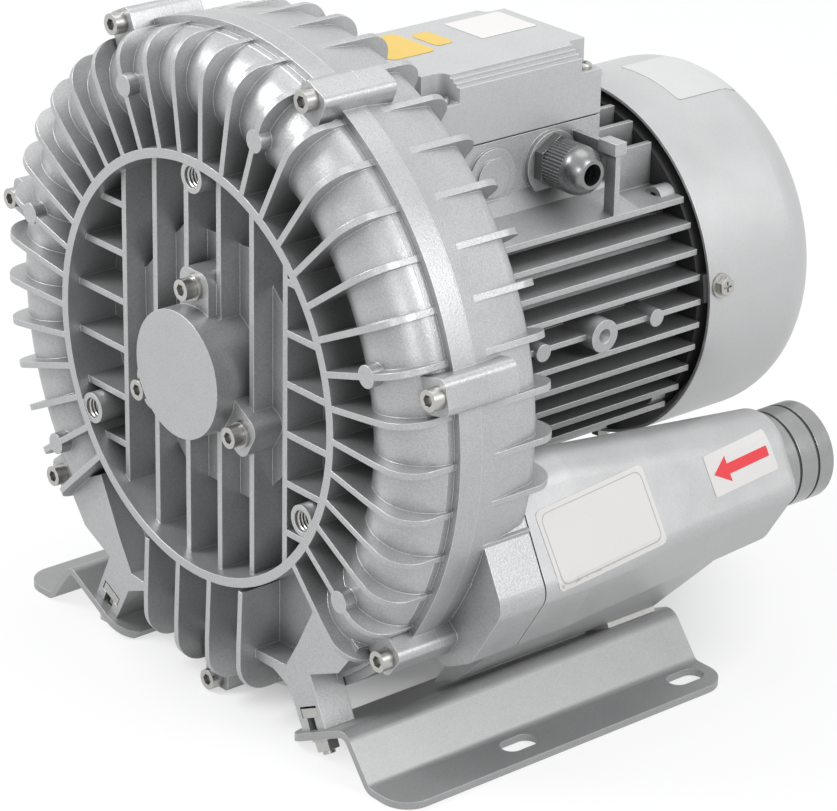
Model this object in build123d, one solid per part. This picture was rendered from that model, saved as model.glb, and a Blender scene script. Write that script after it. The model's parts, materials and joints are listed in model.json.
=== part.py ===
from build123d import *
import math
import os

# A single-stage side channel blower: finned cover and casing, bladed impeller on the
# motor shaft, finned motor with a terminal box, two silencers and two sheet-metal feet.
# Lengths are in millimetres. While the pieces are made, the shaft axis is the Y axis,
# the front of the cover's ring is at y = 0, +Y runs back along the motor and +Z is up.
# Angles round the shaft start at +X and grow towards +Z.

# Casing and cover castings
shaft_height = 165.0
fin_count = 42
fin_thickness = 3.0
ring_radius = 102.0
ring_wall = 4.5
casing_wall = 4.5
channel_radius = 17.0
channel_centre_radius = 132.0
chamber_width = 22.0
parting_y = 37.0
flange_radius = 157.5
flange_depth = 12.0
fin_crest = 1.4
fin_hook = 8.5
skin_radius = 153.5
skin_rear = 76.0
skin_rounding = 9.0
rim_step = 3.0
knob_radius = 5.2
knob_circle = 131.3

# Middle of the cover
floor_thickness = 6.0
slat_pitch = 24.0
slat_thickness = 3.2
slat_setback = 6.5
plateau_radius = 66.0
plateau_height = 10.0
hub_radius = 30.4
hub_proud = 8.6
hub_screw_circle = 40.0
hub_lug_width = 21.0
thread_boss_circle = 92.0
thread_boss_radius = 7.5
thread_hole_radius = 5.1
thread_hole_depth = 18.0

# Screws
flange_screw_count = 7
flange_screw_circle = 159.6
lug_width = 17.0
lug_reach = 165.5
lug_rounding = 4.0
floor_clearance = 0.4
m6_radius = 3.0
m6_head_radius = 5.0
m6_head_height = 6.0
m6_hex = 5.0
screw_gap = 0.05
clearance_hole = 0.4

# Legs and feet
leg_angle = -64.0
leg_seat_radius = 172.5
leg_offset = 6.0
leg_width = 18.0
leg_front = 7.5
leg_depth = 17.0
slot_head_width = 13.0
slot_head_height = 5.5
slot_neck_width = 6.6
slot_lip = 6.0
sheet_thickness = 3.5
foot_front = 4.0
foot_length = 202.0
foot_inner_reach = 15.0
foot_outer_reach = 34.0
foot_web_x = 124.0
foot_edge_x = 148.5
foot_bend_radius = 6.0
foot_corner_radius = 14.0
foot_slot_x = 134.5
foot_slot_width = 11.0
foot_slot_length = 20.0
foot_slot_front = 84.5
foot_slot_spacing = 105.0

# Impeller and bearings
blade_count = 46
blade_thickness = 2.2
blade_cant = 5.0
impeller_gap = 0.8
impeller_disc = 6.0
impeller_hub_radius = 27.0
impeller_hub_length = 12.0
bearing_gap = 0.15
cover_bearing_bore = 25.0
cover_bearing_outer = 52.0
cover_bearing_width = 15.0
cover_ball_radius = 3.95
cover_ball_count = 9
rear_bearing_bore = 20.0
rear_bearing_outer = 47.0
rear_bearing_width = 14.0
rear_ball_radius = 3.95
rear_ball_count = 8
retainer_radius = 48.0
retainer_thickness = 6.0
shaft_radius = 15.0
seal_radius = 23.5
seal_width = 8.0
running_gap = 0.3

# Motor
motor_front = 76.0
motor_flange_radius = 97.0
motor_flange_depth = 9.0
frame_core_radius = 70.0
frame_wall = 5.0
frame_fin_radius = 86.0
frame_fin_pitch = 11.9
frame_fin_raise = 3.4
frame_fin_thickness = 2.8
upright_pitch = 13.2
frame_rear = 236.0
stator_front = 122.0
stator_length = 80.0
stator_bore = 36.5
stator_slots = 24
air_gap = 0.5
winding_overhang = 18.0
shield_thickness = 9.0
fan_radius = 74.0
fan_width = 20.0
fan_blades = 8
shield_screw_circle = 78.0
shield_lug_depth = 9.0
cowl_radius = 89.5
cowl_wall = 1.6
cowl_front = 238.7
cowl_rear = 318.0
cowl_rounding = 24.0
cowl_screw_angle = 6.5
grille_slot_width = 4.0
grille_bridge = 5.0

# Terminal box
box_half_width = 41.0
box_front = 108.5
box_length = 99.5
box_seam_height = 90.5
box_wall = 3.5
box_depth = 32.0
skirt_half_width = 71.0
skirt_height = 51.8
lid_height = 33.5
lid_step = 1.6
lid_step_width = 2.4
lid_notch = 12.5
gasket_thickness = 0.8
board_front = 140.0
board_length = 50.0
board_height = 72.0
gland_y = 177.0
gland_z = 75.0
gland_hex = 23.0
gland_nut_radius = 11.8
gland_bore = 4.6
cable_thread_radius = 8.0

# Silencers and ports
port_x = 126.0
port_drop = 67.0
port_hole_radius = 17.0
port_face = 73.0
silencer_tilt = 27.0
silencer_half = 30.0
silencer_top = -41.0
silencer_bottom = 42.0
silencer_rounding = 17.0
silencer_rear = 237.0
tail_half = 28.0
tail_top = -27.0
tail_bottom = 35.0
tail_rounding = 21.0
low_rounding = 11.0
nose_rounding = 6.0
silencer_wall = 3.2
liner_thickness = 5.0
spigot_radius = 24.0
spigot_bore = 20.0
spigot_rear = 266.0
spigot_groove = 1.6
rest_front = 168.0
rest_length = 30.0
rest_pad = 2.5
rest_width = 18.0
room_gap = 1.5

# Values worked out from the sizes above
chamber_front = parting_y - chamber_width / 2
chamber_rear = parting_y + chamber_width / 2
channel_inner = channel_centre_radius - channel_radius
channel_outer = channel_centre_radius + channel_radius
flange_front = parting_y - flange_depth
flange_rear = parting_y + flange_depth
fin_rim = flange_radius - rim_step
fin_rear = skin_rear + fin_hook
disc_front = parting_y - impeller_disc / 2 - impeller_gap
disc_rear = parting_y + impeller_disc / 2 + impeller_gap
cover_floor = disc_front - floor_thickness
plateau_front = cover_floor - plateau_height
port_angle = math.degrees(math.atan2(port_drop, port_x))
channel_end = port_angle + 9.0
cover_bearing_front = disc_front - retainer_thickness - cover_bearing_width
retainer_front = disc_front - retainer_thickness
hub_face = -hub_proud
impeller_hub_front = disc_front + impeller_gap / 2
impeller_hub_rear = impeller_hub_front + impeller_hub_length
rear_bearing_front = frame_rear + 1.0
rear_bearing_rear = rear_bearing_front + rear_bearing_width
fan_front = rear_bearing_rear + 13.0
fan_rear = fan_front + fan_width
shaft_rear = fan_rear + 3.0
floor_y_middle = (hub_face + cowl_rear) / 2
gasket_top = box_seam_height + gasket_thickness
lid_top = gasket_top + lid_height
box_rear = box_front + box_length
screw_seat_y = parting_y - flange_depth - m6_head_height - 5.6
to_frame = Pos(0, -floor_y_middle, shaft_height)


def around(shape, angle):
    """Turns a shape about the shaft axis."""
    return Rot(0, -angle, 0) * shape


def disc(radius, front, rear, x=0.0, z=0.0):
    """A cylinder along Y between two stations."""
    return Pos(x, (front + rear) / 2, z) * Rot(90, 0, 0) * Cylinder(radius, rear - front)


def tube(outer, inner, front, rear, x=0.0, z=0.0):
    """A tube along Y between two stations."""
    return disc(outer, front, rear, x, z) - disc(inner, front - 1, rear + 1, x, z)


def block(x0, x1, y0, y1, z0, z1):
    """A box from its corner coordinates."""
    return Pos((x0 + x1) / 2, (y0 + y1) / 2, (z0 + z1) / 2) * Box(x1 - x0, y1 - y0, z1 - z0)


def slab(face, front, rear):
    """Extrudes a face drawn in X and Z between two stations of Y."""
    return extrude(Plane.XZ.offset(-rear) * face, rear - front, dir=(0, -1, 0))


def spin(face, start=0.0, stop=360.0):
    """Revolves a face drawn in radius and Y about the shaft, between two angles."""
    solid = revolve(face, axis=Axis.Y, revolution_arc=stop - start)
    return around(solid, stop)


def polar(radius, angle):
    """X and Z of a point at a radius and an angle round the shaft."""
    return radius * math.cos(math.radians(angle)), radius * math.sin(math.radians(angle))


def circle_angles(count, start):
    """Evenly spaced angles round the shaft."""
    return [start + 360.0 * i / count for i in range(count)]


def flange_screw_angles():
    """One flange screw is straight below the shaft."""
    return circle_angles(flange_screw_count, 270.0)


def flange_lugs(front, rear):
    """The screw lugs round the flange. The lowest is cut flat just above the floor."""
    floor = -shaft_height + floor_clearance
    root = fin_rim - 8
    face = Pos((root + lug_reach) / 2, 0) * RectangleRounded(lug_reach - root, lug_width, lug_rounding)
    lugs = []
    for angle in flange_screw_angles():
        lug = around(slab(face, front, rear), angle)
        lugs.append(lug - block(-200, 200, front - 1, rear + 1, floor - 20, floor))
    return lugs


def third_angles():
    """The hub screws and the threaded bosses share three angles."""
    return circle_angles(3, 90.0)


def radial_slab(r0, r1, width, front, rear, angle, end_radius=0.0):
    """A block that reaches out from the shaft, with a round outer end if one is wanted."""
    shape = block(r0, r1, front, rear, -width / 2, width / 2)
    if end_radius > 0:
        shape = shape + disc(end_radius, front, rear, r1, 0)
    return around(shape, angle)


def front_fin_face():
    """Side view of a cover fin, in radius and Y."""
    inner = ring_radius - ring_wall / 2
    bend = fin_rim - 14.0
    outline = [
        Line((inner, flange_front + 2), (inner, 0)),
        Line((inner, 0), (knob_circle, -fin_crest)),
        Line((knob_circle, -fin_crest), (bend, -fin_crest)),
        ThreePointArc((bend, -fin_crest), (fin_rim - 4.2, 3.2), (fin_rim, 14.0)),
        Line((fin_rim, 14.0), (fin_rim, flange_front + 2)),
        Line((fin_rim, flange_front + 2), (inner, flange_front + 2)),
    ]
    return make_face(outline)


def rear_fin_face():
    """Side view of a casing fin, in radius and Y."""
    inner = channel_inner - casing_wall - 8.0
    rim = flange_radius - 1.0
    outline = [
        Line((inner, parting_y + 3), (inner, fin_rear - 3)),
        Line((inner, fin_rear - 3), (rim - 12, fin_rear)),
        ThreePointArc((rim - 12, fin_rear), (rim - 3, fin_rear - 4), (rim, fin_rear - 13)),
        Line((rim, fin_rear - 13), (rim, parting_y + 3)),
        Line((rim, parting_y + 3), (inner, parting_y + 3)),
    ]
    return make_face(outline)


def rear_skin_face():
    """Half section of the casing's closed skin, which narrows to a rounded rear corner."""
    inner = channel_inner - casing_wall
    corner = skin_rounding * (1 - math.sqrt(0.5))
    bend = skin_rear - skin_rounding
    flat = skin_radius - skin_rounding
    outline = [
        Line((inner, parting_y), (flange_radius, parting_y)),
        Line((flange_radius, parting_y), (skin_radius, bend)),
        ThreePointArc((skin_radius, bend), (skin_radius - corner, skin_rear - corner), (flat, skin_rear)),
        Line((flat, skin_rear), (inner, skin_rear)),
        Line((inner, skin_rear), (inner, parting_y)),
    ]
    return make_face(outline)


def radial_fins(face, thickness, skip_low, skip_high):
    """Fins at the casting's pitch, left out between two angles below the shaft."""
    fin = extrude(face, thickness / 2, both=True)
    fins = []
    for angle in circle_angles(fin_count, 0.0):
        turned = angle - 360.0 if angle > 180.0 + 45.0 else angle
        if skip_low < turned < skip_high:
            continue
        fins.append(around(fin, angle))
    return fins


def torus_section(front_side, grow):
    """Half section of the side channel, or of the wall round it, in radius and Y."""
    radius = channel_radius + grow
    inner = channel_centre_radius - radius
    outer = channel_centre_radius + radius
    base = chamber_front if front_side else chamber_rear
    crest = base - radius if front_side else base + radius
    outline = [
        Line((inner, parting_y), (inner, base)),
        ThreePointArc((inner, base), (channel_centre_radius, crest), (outer, base)),
        Line((outer, base), (outer, parting_y)),
        Line((outer, parting_y), (inner, parting_y)),
    ]
    return make_face(outline)


def impeller_space():
    """The room that the turning impeller needs, all the way round."""
    blades = tube(channel_outer, channel_inner - 1, chamber_front, chamber_rear)
    hub = disc(impeller_hub_radius + impeller_gap, parting_y, impeller_hub_rear + impeller_gap)
    return blades + disc(channel_inner, disc_front, disc_rear) + hub


def side_channel(front_side):
    """The half channel, which stops at the stripper between the two ports."""
    face = torus_section(front_side, 0.0)
    return spin(face, -channel_end, 180.0 + channel_end)


def leg_point(radial, along):
    """X and Z of a point in the leg's own frame, for the right leg."""
    ux, uz = polar(1.0, leg_angle)
    return radial * ux - along * uz, radial * uz + along * ux


def leg_face():
    """Front view of the right leg and its gusset, in X and Z."""
    low = leg_offset - leg_width / 2
    high = leg_offset + leg_width / 2
    rib_x = 1.5 * slat_pitch
    points = [
        leg_point(leg_seat_radius, low),
        leg_point(leg_seat_radius - 21, low - 1),
        (51.0, -133.0),
        (rib_x, -133.0),
        (rib_x, -128.5),
        (60.0, -127.5),
        (68.5, -113.5),
        (84.0, -84.0),
        (112.0, -98.0),
        (98.0, -116.0),
        leg_point(leg_seat_radius - 26, high),
        leg_point(leg_seat_radius, high),
    ]
    return Polygon(*points, align=None)


def t_slot():
    """The slot in the right leg that takes the head and shank of its foot bolt."""
    head_top = leg_seat_radius - slot_lip - slot_head_height
    head_low = leg_offset - slot_head_width / 2
    neck_low = leg_offset - slot_neck_width / 2
    head = [
        leg_point(head_top, head_low),
        leg_point(head_top, head_low + slot_head_width),
        leg_point(head_top + slot_head_height, head_low + slot_head_width),
        leg_point(head_top + slot_head_height, head_low),
    ]
    neck = [
        leg_point(head_top, neck_low),
        leg_point(head_top, neck_low + slot_neck_width),
        leg_point(leg_seat_radius + 1, neck_low + slot_neck_width),
        leg_point(leg_seat_radius + 1, neck_low),
    ]
    rear = leg_front + 12.5
    slot = slab(Polygon(*head, align=None), leg_front - 1, rear)
    return slot + slab(Polygon(*neck, align=None), leg_front - 1, rear)


def both_sides(shape):
    """The shape and its mirror image across the shaft's vertical plane."""
    return [shape, mirror(shape, about=Plane.YZ)]


def cover_slats():
    """Upright slats in the ring, the cross ribs beside them and the upright ribs below the ring."""
    pieces = []
    reach = ring_radius - ring_wall / 2
    half = slat_thickness / 2
    for step in (0.5, 1.5, 2.5):
        for x in (-step * slat_pitch, step * slat_pitch):
            pieces.append(block(x - half, x + half, slat_setback, cover_floor + 2, -reach, reach))
        for z in (-step * slat_pitch, step * slat_pitch):
            side = 2.5 * slat_pitch
            pieces.append(block(side, reach, slat_setback, cover_floor + 2, z - half, z + half))
            pieces.append(block(-reach, -side, slat_setback, cover_floor + 2, z - half, z + half))
    inside = disc(reach, slat_setback, cover_floor + 2)
    return [piece & inside for piece in pieces]


def lower_ribs():
    """Upright ribs between the legs, cut to the fins' own outline."""
    outline = spin(front_fin_face())
    ribs = []
    half = fin_thickness / 2
    top = -ring_radius + ring_wall
    for step in (-1.5, -0.5, 0.5, 1.5):
        x = step * slat_pitch
        plate = block(x - half, x + half, -fin_crest - 1, flange_front + 2, -fin_rim - 1, top)
        ribs.append(plate & outline)
    arc = tube(channel_centre_radius + 9, channel_centre_radius + 5, flange_front - 9, flange_front + 1)
    ribs.append(arc & block(-36, 36, 0, flange_front + 2, -150, -100))
    return ribs


def hub_lugs():
    """Three lugs on the hub, each with a flat seat for a washer and screw."""
    lugs = []
    for angle in third_angles():
        face = Pos(hub_screw_circle - 5.5, 0) * RectangleRounded(27, hub_lug_width, 6)
        lugs.append(around(slab(face, hub_seat(), plateau_front + 2), angle))
    return lugs


def hub_seat():
    """Y of the seats of the hub screws."""
    return plateau_front - 15.5


def front_cover():
    """The finned cover casting, with its half of the side channel and the outer bearing seat."""
    body = disc(flange_radius, cover_floor, parting_y)
    body += tube(flange_radius, channel_outer, flange_front, parting_y)
    pocket_floor = chamber_front - casing_wall
    body += tube(channel_outer + casing_wall - 0.2, ring_radius - ring_wall, pocket_floor, parting_y)
    body += tube(ring_radius, ring_radius - ring_wall, 0, parting_y)
    parts = [spin(torus_section(True, casing_wall), -channel_end - 6, 180.0 + channel_end + 6)]
    parts += radial_fins(front_fin_face(), fin_thickness, -132.0, -43.5)
    parts += cover_slats()
    parts += lower_ribs()
    plateau = Plane.XZ.offset(-plateau_front) * RegularPolygon(plateau_radius, 8, rotation=22.5)
    parts.append(extrude(plateau, -(cover_floor + 1 - plateau_front)))
    parts.append(disc(hub_radius, hub_face, parting_y - 8))
    parts += hub_lugs()
    for angle in third_angles():
        x, z = polar(thread_boss_circle, angle)
        parts.append(disc(thread_boss_radius, 0.6, cover_floor + 1, x, z))
    parts += flange_lugs(screw_seat_y, parting_y)
    for angle in (19.0, 70.0, 109.0, 161.0, -32.0, 212.0):
        near = round(angle * fin_count / 360.0) * 360.0 / fin_count
        x, z = polar(knob_circle, near)
        parts.append(disc(knob_radius, -fin_crest, 12, x, z))
    parts += both_sides(slab(leg_face(), leg_front, leg_front + leg_depth))
    body = body.fuse(*parts)
    cuts = [impeller_space(), side_channel(True)]
    cuts.append(disc(retainer_radius + 0.2, retainer_front, parting_y))
    cuts.append(disc(cover_bearing_outer / 2 + screw_gap, cover_bearing_front, parting_y))
    cuts.append(disc(cover_bearing_outer / 2 - 3, hub_face + 5, parting_y))
    for angle in third_angles():
        x, z = polar(hub_screw_circle, angle)
        cuts.append(disc(m6_radius + clearance_hole, hub_face - 1, parting_y, x, z))
        x, z = polar(thread_boss_circle, angle)
        cuts.append(disc(thread_hole_radius, -1, 0.6 + thread_hole_depth, x, z))
    for angle in flange_screw_angles():
        x, z = polar(flange_screw_circle, angle)
        cuts.append(disc(m6_radius + clearance_hole, screw_seat_y - 1, parting_y + 1, x, z))
    cuts += both_sides(t_slot())
    return body.cut(*cuts)


def direction(angle):
    """X, Y and Z of a unit direction across the shaft."""
    x, z = polar(1.0, angle)
    return (x, 0, z)


def silencer_frame(y):
    """A plane across the right port at a station of Y, turned to the silencer's tilt."""
    return Plane(origin=(port_x, y, -port_drop), x_dir=direction(silencer_tilt), z_dir=(0, 1, 0))


def section(half, top, bottom, rounding, y, inset):
    """A silencer section: round above, with its outer lower corner cut off at a slant."""
    outline = Polygon(
        (-half, top),
        (half, top),
        (half, bottom - 0.66 * half),
        (-0.1 * half, bottom),
        (-half, bottom),
        align=None,
    )
    face = fillet([corner for corner in outline.vertices() if corner.Y < top + 1], rounding)
    face = fillet([corner for corner in face.vertices() if corner.Y > bottom - 0.67 * half], low_rounding)
    if inset != 0:
        face = offset(face, -inset)
    return silencer_frame(y) * face


def silencer_face(y, inset=0.0):
    """Section of the right silencer's wide end at a station of Y."""
    return section(silencer_half, silencer_top, silencer_bottom, silencer_rounding, y, inset)


def tail_face(y, inset=0.0):
    """Section of the right silencer's narrow end at a station of Y."""
    return section(tail_half, tail_top, tail_bottom, tail_rounding, y, inset)


def rear_casing():
    """The finned casing behind the impeller, with the stripper, both ports and the motor seat."""
    body = disc(channel_outer, parting_y, flange_rear)
    seat_inner = motor_flange_radius - 12
    parts = [spin(rear_skin_face())]
    parts += radial_fins(rear_fin_face(), fin_thickness, -130.0, -50.0)
    parts.append(tube(motor_flange_radius, seat_inner, flange_rear - 2, motor_front))
    parts.append(disc(seal_radius + 8, flange_rear - 2, flange_rear + seal_width + 5))
    for angle in circle_angles(8, 22.5):
        web = radial_slab(seal_radius + 5, seat_inner + 3, 5, flange_rear - 2, flange_rear + 12, angle)
        parts.append(web)
    parts += flange_lugs(parting_y, flange_rear + 4)
    port = extrude(silencer_face(flange_rear - 2), port_face - flange_rear + 2)
    ears = silencer_ears(port_face - 12, 12.0)
    parts += both_sides(port.fuse(*ears))
    body = body.fuse(*parts)
    shoulder = flange_rear + 1
    cuts = [impeller_space(), side_channel(False)]
    room = extrude(silencer_face(port_face, -room_gap), fin_rear - port_face + 1)
    cuts += both_sides(room)
    cuts += both_sides(slab(offset(saddle_section(), room_gap), port_face, fin_rear + 1))
    for x, z in ear_places():
        cuts += both_sides(disc(9.5, port_face, fin_rear + 1, x, z))
    cuts.append(disc(shaft_radius + 1.5, parting_y, motor_front))
    cuts.append(disc(seal_radius + screw_gap, shoulder, motor_front))
    for angle in flange_screw_angles():
        x, z = polar(flange_screw_circle, angle)
        cuts.append(disc(m6_radius + screw_gap, parting_y - 1, flange_rear + 5, x, z))
    for angle in circle_angles(4, 45.0):
        x, z = polar(motor_flange_radius - 6, angle)
        cuts.append(disc(m6_radius + screw_gap, motor_front - 20, motor_front + 1, x, z))
    cuts += both_sides(disc(port_hole_radius, chamber_rear + 4, port_face + 1, port_x, -port_drop))
    for x, z in ear_places():
        cuts += both_sides(disc(m6_radius + screw_gap, port_face - 11, port_face + 1, x, z))
    return body.cut(*cuts)


def ear_places():
    """X and Z of the two fixing screws of the right silencer, on its motor side."""
    frame = silencer_frame(0)
    places = []
    for along in (-14.0, 22.0):
        point = frame.from_local_coords(Vector(-silencer_half - 7.0, along, 0))
        places.append((point.X, point.Z))
    return places


def silencer_ears(front, depth):
    """Two round ears beside the right silencer's flange."""
    ears = []
    frame = silencer_frame(0)
    for x, z in ear_places():
        ear = disc(7.5, front, front + depth, x, z)
        local = frame.to_local_coords(Vector(x, 0, z))
        root = frame.from_local_coords(Vector(-silencer_half + 8, local.Y, 0))
        inward = math.degrees(math.atan2(root.Z - z, root.X - x))
        arm = around(block(0, 15, 0, depth, -7.5, 7.5), inward)
        ears.append(ear + Pos(x, front, z) * arm)
    return ears


def silencer_body():
    """The right silencer: a hollow tapered casting from the port flange back to its spigot."""
    front = port_face + gasket_thickness
    neck = front + 30.0
    tail = loft([silencer_face(neck), tail_face(silencer_rear)])
    tail = fillet(tail.faces().sort_by(Axis.Y)[-1].edges(), nose_rounding)
    outer = extrude(silencer_face(front), neck - front) + tail
    saddle = slab(saddle_section(), front, rest_front + rest_length)
    outer = outer.fuse(*silencer_ears(front, 9.0), saddle)
    rear = silencer_rear - silencer_wall
    inner = extrude(silencer_face(front - 1, silencer_wall), neck - front + 1)
    inner += loft([silencer_face(neck, silencer_wall), tail_face(rear, silencer_wall)])
    cuts = [inner, disc(spigot_radius - 2.0, silencer_rear - 10, silencer_rear + 1, port_x, -port_drop)]
    for x, z in ear_places():
        cuts.append(disc(m6_radius + clearance_hole, front - 1, front + 10, x, z))
    return outer.cut(*cuts)


def saddle_section():
    """Section of the saddle between the right silencer and its foot, in X and Z."""
    outer = leg_seat_radius - rest_pad
    half = rest_width / 2
    points = [leg_point(outer, rest_along() - half), leg_point(outer, rest_along() + half)]
    frame = silencer_frame(0)
    for across, down in ((-3.0, tail_bottom + 2), (-3.0, 24.0), (-20.0, 24.0)):
        corner = frame.from_local_coords(Vector(across, down, 0))
        points.append((corner.X, corner.Z))
    return Polygon(*points, align=None)


def rest_block(inner, outer):
    """A block square to the foot's sloping top, where the right silencer rests on it."""
    low = rest_along() - rest_width / 2
    high = rest_along() + rest_width / 2
    points = [leg_point(outer, low), leg_point(outer, high), leg_point(inner, high), leg_point(inner, low)]
    return slab(Polygon(*points, align=None), rest_front, rest_front + rest_length)


def rest_along():
    """Place of the rest lug across the foot's sloping top."""
    return foot_outer_reach - 12.0


def silencer_liner():
    """The foam sleeve that lines the right silencer."""
    front = port_face + gasket_thickness + 3
    rear = silencer_rear - silencer_wall - 1
    outer = -tail_top - silencer_wall - running_gap
    return tube(outer, outer - liner_thickness, front, rear, port_x, -port_drop)


def port_spigot():
    """The round spigot that screws into the right silencer, with two ring grooves."""
    front = silencer_rear
    body = tube(spigot_radius, spigot_bore, front, spigot_rear, port_x, -port_drop)
    body += tube(spigot_radius - 2.1, spigot_bore, front - silencer_wall, front, port_x, -port_drop)
    for y in groove_stations():
        body -= tube(spigot_radius + 1, spigot_radius - 1.2, y, y + spigot_groove, port_x, -port_drop)
    return body


def groove_stations():
    """Y of the front edge of each ring groove."""
    return [silencer_rear + 6.5, silencer_rear + 18.5]


def spigot_rings():
    """The two dark rubber rings in the right spigot's grooves."""
    rings = []
    for y in groove_stations():
        front = y + screw_gap
        rear = y + spigot_groove - screw_gap
        rings.append(tube(spigot_radius - 0.35, spigot_radius - 1.15, front, rear, port_x, -port_drop))
    return rings


def port_gasket():
    """The flat gasket between the casing's right port and the silencer."""
    face = silencer_face(port_face, 0.6)
    gasket = extrude(face, gasket_thickness)
    return gasket - disc(port_hole_radius, port_face - 1, port_face + 2, port_x, -port_drop)


def foot_sheet():
    """The right foot, bent from one sheet, with two slots along the shaft's direction."""
    half = sheet_thickness / 2
    floor = -shaft_height + half
    mid = leg_seat_radius + half
    tip = leg_point(mid, -foot_inner_reach)
    peak = leg_point(mid, foot_outer_reach)
    edge = (foot_edge_x, floor)
    path = FilletPolyline(tip, peak, (foot_web_x, floor), edge, radius=foot_bend_radius)
    face = trace(path, sheet_thickness)
    sheet = slab(face, foot_front, foot_front + foot_length)
    x0 = tip[0] - 1
    plan = Pos((x0 + foot_edge_x) / 2, foot_front + foot_length / 2) * RectangleRounded(
        foot_edge_x - x0, foot_length, foot_corner_radius
    )
    sheet = sheet & extrude(Plane.XY.offset(-shaft_height - 5) * plan, 60)
    for y in (foot_slot_front, foot_slot_front + foot_slot_spacing):
        slot = Pos(foot_slot_x, y) * Rot(0, 0, 90) * SlotOverall(foot_slot_length, foot_slot_width)
        sheet -= extrude(Plane.XY.offset(-shaft_height - 5) * slot, 12)
    bolt = foot_bolt_axis(leg_front + 5, leg_offset)
    rest = foot_bolt_axis(rest_front + rest_length / 2, rest_along())
    for axis in (bolt, rest):
        sheet -= axis * Cylinder(m6_radius + clearance_hole, 20)
    return sheet


def foot_bolt_axis(y, along):
    """The place where a bolt crosses the right foot's sloping top, with Z along the bolt."""
    x, z = leg_point(leg_seat_radius, along)
    return Plane(origin=(x, y, z), x_dir=(0, 1, 0), z_dir=direction(leg_angle)).location


def foot_bolt():
    """The T-head bolt that holds the right leg on its foot."""
    place = foot_bolt_axis(leg_front + 5, leg_offset)
    head_height = slot_head_height - 1.0
    head = Pos(0, 0, -slot_lip - head_height / 2) * Box(9.6, slot_head_width - 1.0, head_height)
    shank_top = -slot_lip - 1.0
    shank_end = sheet_thickness + 8.5
    shank = Pos(0, 0, (shank_top + shank_end) / 2) * Cylinder(m6_radius, shank_end - shank_top)
    return place * (head + shank)


def hex_prism(across, height, bore):
    """A hexagonal nut blank with a bore, standing on the plane z = 0."""
    nut = extrude(RegularPolygon(across / 2, 6, major_radius=False), height)
    return nut - Pos(0, 0, height / 2) * Cylinder(bore, height + 2)


def foot_nut():
    """The nut under the right foot, below its washer."""
    place = foot_bolt_axis(leg_front + 5, leg_offset)
    return place * Pos(0, 0, sheet_thickness + 1.6) * hex_prism(10.0, 5.0, m6_radius + screw_gap)


def foot_washer():
    """The washer under the right foot."""
    place = foot_bolt_axis(leg_front + 5, leg_offset)
    ring = Cylinder(6.2, 1.6) - Cylinder(m6_radius + 0.2, 3)
    return place * Pos(0, 0, sheet_thickness + 0.8) * ring


def rest_bolt():
    """The hexagon screw that holds the right silencer's lug down on its foot."""
    place = foot_bolt_axis(rest_front + rest_length / 2, rest_along())
    head = Pos(0, 0, sheet_thickness) * hex_prism(10.0, 4.0, 0.5)
    head += Pos(0, 0, sheet_thickness + 2) * Cylinder(1.0, 4.0)
    shank_top = -rest_pad - 12.0
    shank = Pos(0, 0, (shank_top + sheet_thickness) / 2) * Cylinder(m6_radius, sheet_thickness - shank_top)
    return place * (head + shank)


def rest_bolt_hole():
    """The threaded hole in the rest lug."""
    place = foot_bolt_axis(rest_front + rest_length / 2, rest_along())
    return place * Pos(0, 0, -rest_pad - 6.5) * Cylinder(m6_radius + screw_gap, 14)


def rest_pad_piece():
    """The rubber pad between the right silencer's lug and its foot."""
    pad = rest_block(leg_seat_radius - rest_pad, leg_seat_radius)
    place = foot_bolt_axis(rest_front + rest_length / 2, rest_along())
    return pad - place * Cylinder(m6_radius + clearance_hole, 20)


def cap_screw(seat, length, x, z, head_radius, head_height, shank_radius, hexagon):
    """A socket head screw along Y, its head in front of the seat and its shank behind."""
    screw = disc(head_radius, seat - head_height, seat, x, z)
    screw += disc(shank_radius, seat - 0.5, seat + length, x, z)
    socket = Plane.XZ.offset(-(seat - head_height / 2)) * Pos(x, z) * RegularPolygon(
        hexagon / 2, 6, major_radius=False
    )
    return screw - extrude(socket, head_height / 2 + 1)


def m6_screw(seat, length, x, z):
    """An M6 socket head screw along Y."""
    return cap_screw(seat, length, x, z, m6_head_radius, m6_head_height, m6_radius, m6_hex)


def cover_screws():
    """The seven socket screws round the flange."""
    screws = []
    length = flange_rear - screw_seat_y
    for angle in flange_screw_angles():
        screws.append(m6_screw(screw_seat_y, length, *polar(flange_screw_circle, angle)))
    return screws


def hub_screws():
    """The three socket screws that clamp the bearing retainer."""
    screws = []
    seat = hub_seat() - 1.6
    for angle in third_angles():
        screws.append(m6_screw(seat, disc_front - 0.6 - seat, *polar(hub_screw_circle, angle)))
    return screws


def hub_washers():
    """The washers under the hub screws."""
    washers = []
    for angle in third_angles():
        x, z = polar(hub_screw_circle, angle)
        washers.append(tube(6.2, m6_radius + 0.2, hub_seat() - 1.6, hub_seat(), x, z))
    return washers


def bearing_retainer():
    """The ring inside the cover that holds the outer bearing in its seat."""
    ring = tube(retainer_radius, cover_bearing_outer / 2 - 4, retainer_front, disc_front - 0.4)
    for angle in third_angles():
        x, z = polar(hub_screw_circle, angle)
        ring -= disc(m6_radius + screw_gap, retainer_front - 1, disc_front + 1, x, z)
    return ring


def race(outer_radius, inner_radius, groove_radius, ball_radius, front, rear):
    """A bearing ring with a ball groove at the given pitch radius."""
    ring = tube(outer_radius, inner_radius, front, rear)
    groove = Pos(0, (front + rear) / 2, 0) * Rot(90, 0, 0) * Torus(groove_radius, ball_radius + bearing_gap)
    return ring - groove


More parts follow.
